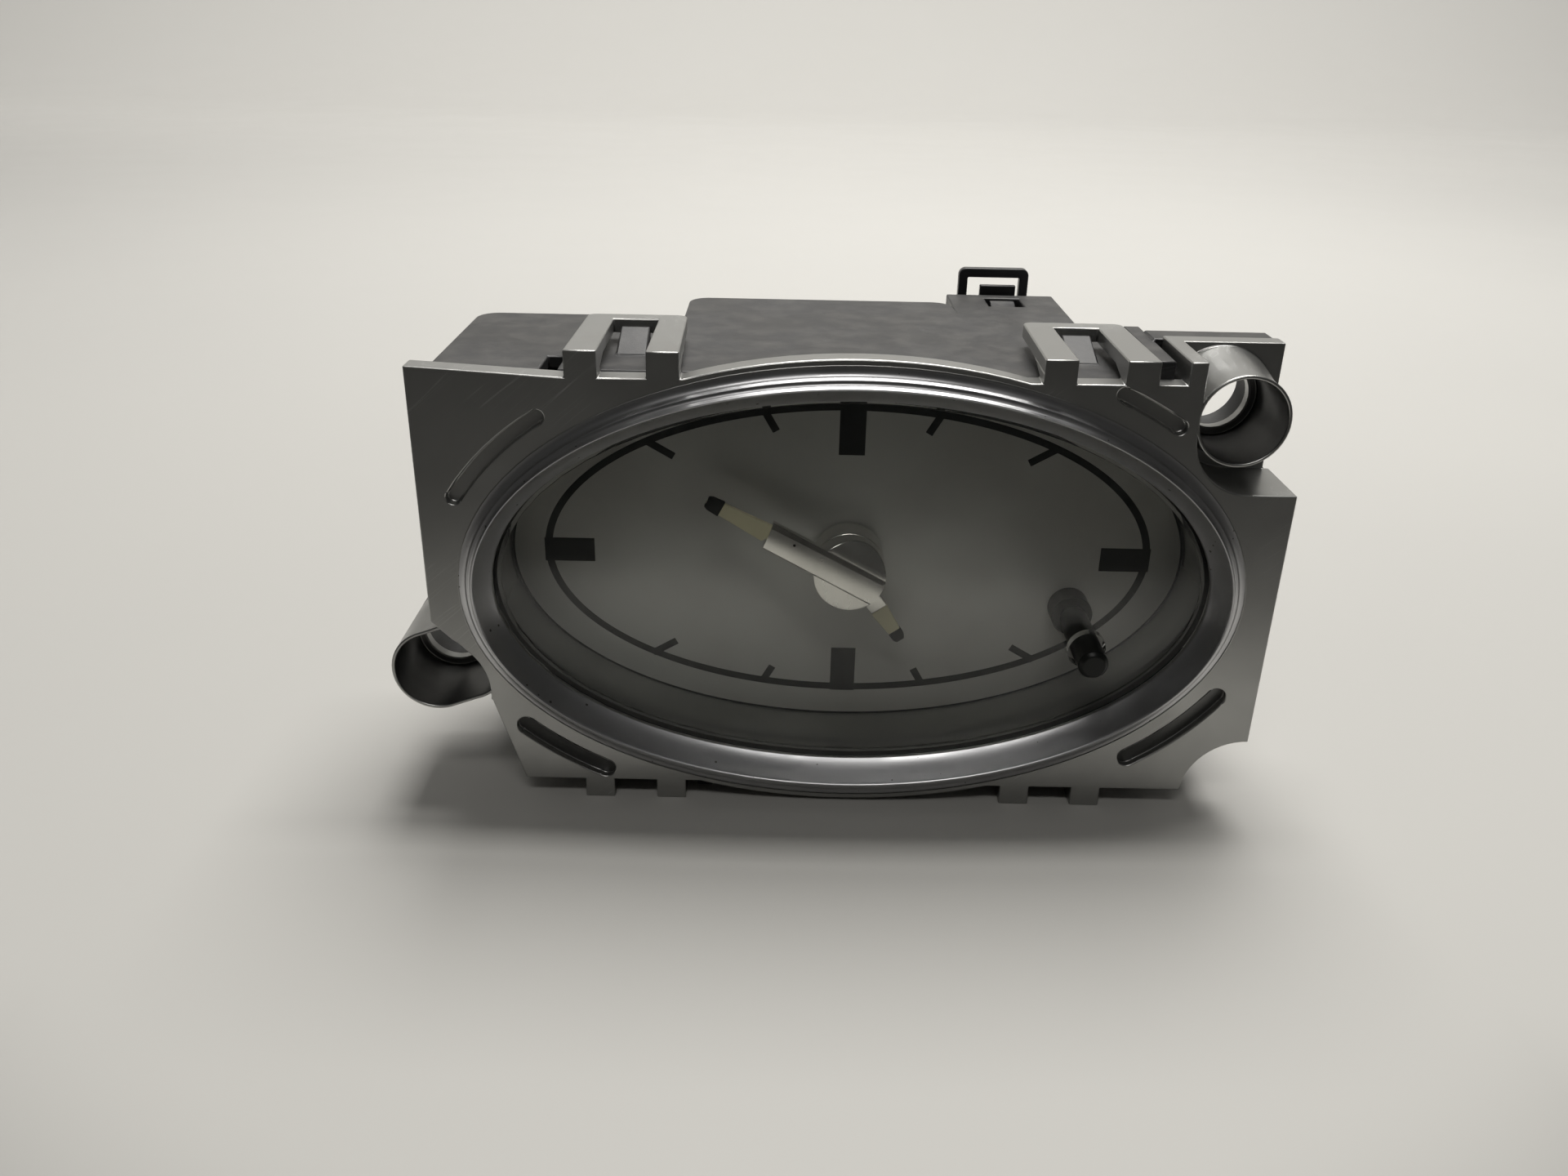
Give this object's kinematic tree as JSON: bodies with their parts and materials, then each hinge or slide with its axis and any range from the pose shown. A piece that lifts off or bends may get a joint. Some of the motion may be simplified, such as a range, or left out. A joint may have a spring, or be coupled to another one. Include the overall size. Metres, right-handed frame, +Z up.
{
  "type": "dashboard clock",
  "caption": "Oval-dial quartz clock for a car's dashboard, with a bezel, domed lens, setting button, rear housing, plug socket and a geared stepper movement that turns both hands.",
  "frame": {"origin": "under the middle of the outline, on the line its lower clip loops and foot ribs stand on", "axes": "the dial faces -Y, +Y runs back to the plug socket, +X is to the viewer's right as the dial is seen, +Z is up"},
  "size_m": [0.1126, 0.0626, 0.0615],
  "materials": {
    "bezel_paint": "satin silver paint on black plastic, worn on the cove and corners",
    "lens_clear": "clear acrylic with a faint smoke tint",
    "surround_silver": "satin silver paint",
    "dial_silver": "fine silver-grey print ground with black print",
    "light_guide_clear": "clear polished acrylic",
    "housing_black": "satin moulded black",
    "shroud_black": "satin moulded black",
    "terminal_tin": "tinned brass",
    "carrier_black": "moulded black",
    "board_green": "green solder mask on glass fibre",
    "led_body": "pale resin bodies",
    "switch_body": "moulded black",
    "switch_plunger": "moulded red",
    "button_black": "moulded black, lightly polished by use",
    "sleeve_black": "moulded black",
    "chip_body": "black epoxy",
    "crystal_can": "drawn metal can",
    "capacitor_can": "blue sleeve over an aluminium can",
    "regulator_body": "black epoxy with a tinned tab",
    "resistor_body": "ceramic with a dark glaze",
    "movement_ivory": "moulded ivory",
    "screw_steel": "zinc plated",
    "motor_iron": "annealed soft iron",
    "bobbin_ivory": "moulded ivory",
    "winding_copper": "lacquered copper wire",
    "magnet_dark": "sintered magnet, ground",
    "gear_white": "moulded acetal",
    "arbor_steel": "ground steel",
    "cannon_brass": "turned brass",
    "hand_silver": "satin silver paint",
    "hour_pointer_clear": "lit plastic that has yellowed, black tip",
    "minute_pointer_clear": "lit plastic that has yellowed, black tip"
  },
  "bodies": {
    "clock": {"front_bezel": "bezel_paint", "lens": "lens_clear", "dial_surround": "surround_silver", "dial": "dial_silver", "light_guide": "light_guide_clear", "rear_housing": "housing_black", "connector_shroud": "shroud_black", "connector_pins": "terminal_tin", "pin_carrier": "carrier_black", "circuit_board": "board_green", "backlight_leds": "led_body", "push_switch": "switch_body", "button_sleeve": "sleeve_black", "driver_chip": "chip_body", "quartz_crystal": "crystal_can", "electrolytic_capacitor": "capacitor_can", "voltage_regulator": "regulator_body", "chip_resistors": "resistor_body", "movement_front_plate": "movement_ivory", "train_bridge": "movement_ivory", "motor_cover": "movement_ivory", "movement_screws": "screw_steel", "stator": "motor_iron", "coil_core": "motor_iron", "coil_bobbin": "bobbin_ivory", "coil_winding": "winding_copper"},
    "minute_works": {"minute_hand_cap": "hand_silver", "minute_pointer": "minute_pointer_clear", "centre_arbor": "arbor_steel", "centre_wheel": "gear_white", "cannon_pinion": "cannon_brass"},
    "hour_works": {"hour_wheel": "gear_white", "hour_hand_hub": "hand_silver", "hour_pointer": "hour_pointer_clear"},
    "motion_wheel_body": {"motion_wheel": "gear_white"},
    "intermediate_wheel_body": {"intermediate_wheel": "gear_white"},
    "rotor": {"rotor_magnet": "magnet_dark", "rotor_pinion": "gear_white"},
    "button": {"setting_button": "button_black", "switch_plunger": "switch_plunger"}
  },
  "joints": [
    {"name": "minute_hand_spin", "type": "hinge", "parent": "clock", "child": "minute_works", "pos_m": [0.00285, -0.0107, 0.03073], "axis": [0, 1, 0], "continuous": true},
    {"name": "hour_hand_spin", "type": "hinge", "parent": "clock", "child": "hour_works", "pos_m": [0.00285, -0.0107, 0.03073], "axis": [0, 1, 0], "continuous": true},
    {"name": "motion_wheel_spin", "type": "hinge", "parent": "clock", "child": "motion_wheel_body", "pos_m": [0.00735, -0.0057, 0.02294], "axis": [0, 1, 0], "continuous": true},
    {"name": "intermediate_wheel_spin", "type": "hinge", "parent": "clock", "child": "intermediate_wheel_body", "pos_m": [-0.00084, -0.0037, 0.04088], "axis": [0, 1, 0], "continuous": true},
    {"name": "rotor_spin", "type": "hinge", "parent": "clock", "child": "rotor", "pos_m": [-0.01043, 0.0033, 0.03739], "axis": [0, 1, 0], "continuous": true},
    {"name": "button_press", "type": "slide", "parent": "clock", "child": "button", "axis": [0, 1, 0], "range_m": [0, 0.001], "stiffness_N_per_m": 500, "springref_m": -0.001}
  ],
  "couplings": [
    {"joint": "hour_hand_spin", "follows": "minute_hand_spin", "ratio": 0.083333},
    {"joint": "motion_wheel_spin", "follows": "minute_hand_spin", "ratio": -0.33333},
    {"joint": "intermediate_wheel_spin", "follows": "minute_hand_spin", "ratio": -8},
    {"joint": "rotor_spin", "follows": "minute_hand_spin", "ratio": 60}
  ]
}
